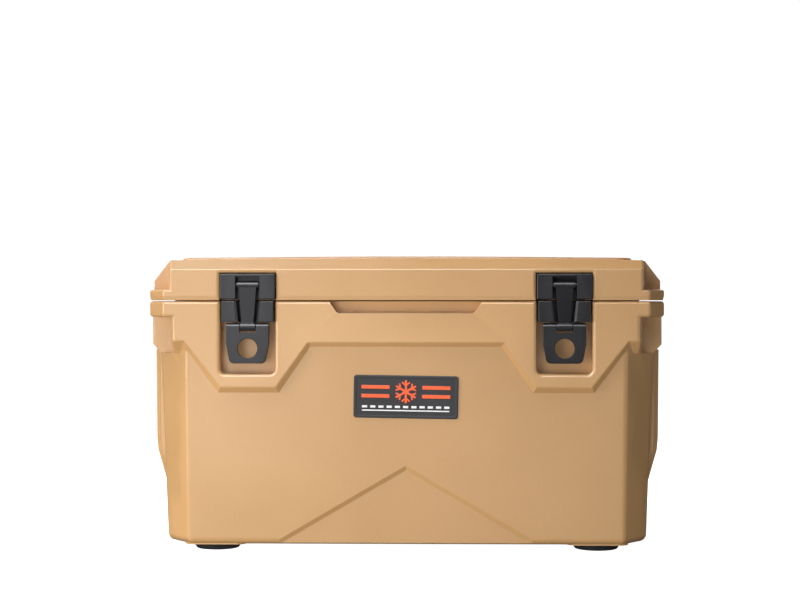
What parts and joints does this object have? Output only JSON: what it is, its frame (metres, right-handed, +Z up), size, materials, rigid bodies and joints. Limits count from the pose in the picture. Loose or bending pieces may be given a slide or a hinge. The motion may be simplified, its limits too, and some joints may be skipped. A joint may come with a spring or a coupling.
{
  "type": "cooler chest",
  "caption": "Hard insulated cooler chest with a hinged lid, pull-down draw latches, moulded end grips and rubber feet.",
  "frame": {"origin": "centre of the bounding box's bottom face, on the floor under the feet", "axes": "+Z up, -Y is the latch side (front), +X is the right end with the drain, seen from the front"},
  "size_m": [0.7, 0.412, 0.3999],
  "materials": {
    "tan_shell": "satin rotomoulded polyethylene with a fine moulded grain",
    "foam": "rigid closed-cell polyurethane foam, never seen from outside",
    "fill_plug": "push-in plug in the shell's colour",
    "latch_plastic": "glass-filled nylon, dark charcoal, fine moulded grain",
    "rubber_black": "moulded black rubber",
    "gasket_grey": "soft freezer-style lid gasket",
    "stainless": "stainless steel",
    "brass": "knurled brass inserts",
    "badge_dark": "charcoal badge plate",
    "badge_orange": "orange raised emblem",
    "badge_white": "white raised rule",
    "drain_plastic": "black moulded drain parts"
  },
  "bodies": {
    "tub": {"tub_shell": "tan_shell", "floor_foam": "foam", "front_wall_foam": "foam", "back_wall_foam": "foam", "left_wall_foam": "foam", "right_wall_foam": "foam", "left_grip_foam": "foam", "right_grip_foam": "foam", "tub_fill_plugs": "fill_plug", "hinge_rod": "stainless", "hinge_rod_caps": "latch_plastic", "latch_catch_left": "latch_plastic", "latch_catch_right": "latch_plastic", "latch_catch_screws": "stainless", "tub_inserts": "brass", "foot_front_left": "rubber_black", "foot_front_right": "rubber_black", "foot_back_left": "rubber_black", "foot_back_right": "rubber_black", "foot_screws": "stainless", "badge_plate": "badge_dark", "badge_emblem": "badge_orange", "badge_rule": "badge_white", "drain_gasket": "rubber_black", "drain_fitting": "drain_plastic", "drain_nut": "drain_plastic"},
    "lid": {"lid_shell": "tan_shell", "lid_foam": "foam", "lid_gasket": "gasket_grey", "lid_fill_plugs": "fill_plug", "latch_mount_left": "latch_plastic", "latch_mount_right": "latch_plastic", "latch_mount_screws": "stainless", "lid_inserts": "brass", "link_pin_left": "latch_plastic", "link_pin_right": "latch_plastic", "opener_stud_left": "stainless", "opener_stud_right": "stainless"},
    "link_left": {"latch_link_left": "latch_plastic"},
    "lever_left": {"latch_lever_left": "latch_plastic", "lever_pin_left": "latch_plastic"},
    "link_right": {"latch_link_right": "latch_plastic"},
    "lever_right": {"latch_lever_right": "latch_plastic", "lever_pin_right": "latch_plastic"},
    "drain_seal": {"drain_seal": "rubber_black"},
    "drain_plug": {"drain_plug": "drain_plastic"}
  },
  "joints": [
    {"name": "lid_hinge", "type": "hinge", "parent": "tub", "child": "lid", "pos_m": [0, 0.198, 0.339], "axis": [-1, 0, 0], "range_deg": [0, 100]},
    {"name": "link_swing_left", "type": "hinge", "parent": "lid", "child": "link_left", "pos_m": [-0.213, -0.1995, 0.3606], "axis": [-1, 0, 0], "range_deg": [0, 115]},
    {"name": "lever_turn_left", "type": "hinge", "parent": "link_left", "child": "lever_left", "pos_m": [-0.213, -0.2001, 0.3045], "axis": [-1, 0, 0], "range_deg": [0, 95]},
    {"name": "link_swing_right", "type": "hinge", "parent": "lid", "child": "link_right", "pos_m": [0.213, -0.1995, 0.3606], "axis": [-1, 0, 0], "range_deg": [0, 115]},
    {"name": "lever_turn_right", "type": "hinge", "parent": "link_right", "child": "lever_right", "pos_m": [0.213, -0.2001, 0.3045], "axis": [-1, 0, 0], "range_deg": [0, 95]},
    {"name": "drain_slide", "type": "slide", "parent": "tub", "child": "drain_seal", "axis": [1, 0, 0], "range_m": [0, 0.012]},
    {"name": "drain_turn", "type": "hinge", "parent": "drain_seal", "child": "drain_plug", "pos_m": [0.334, 0, 0.069], "axis": [1, 0, 0], "range_deg": [0, 720]}
  ],
  "couplings": [
    {"joint": "drain_turn", "follows": "drain_slide", "rad_per_m": 1047.2}
  ]
}
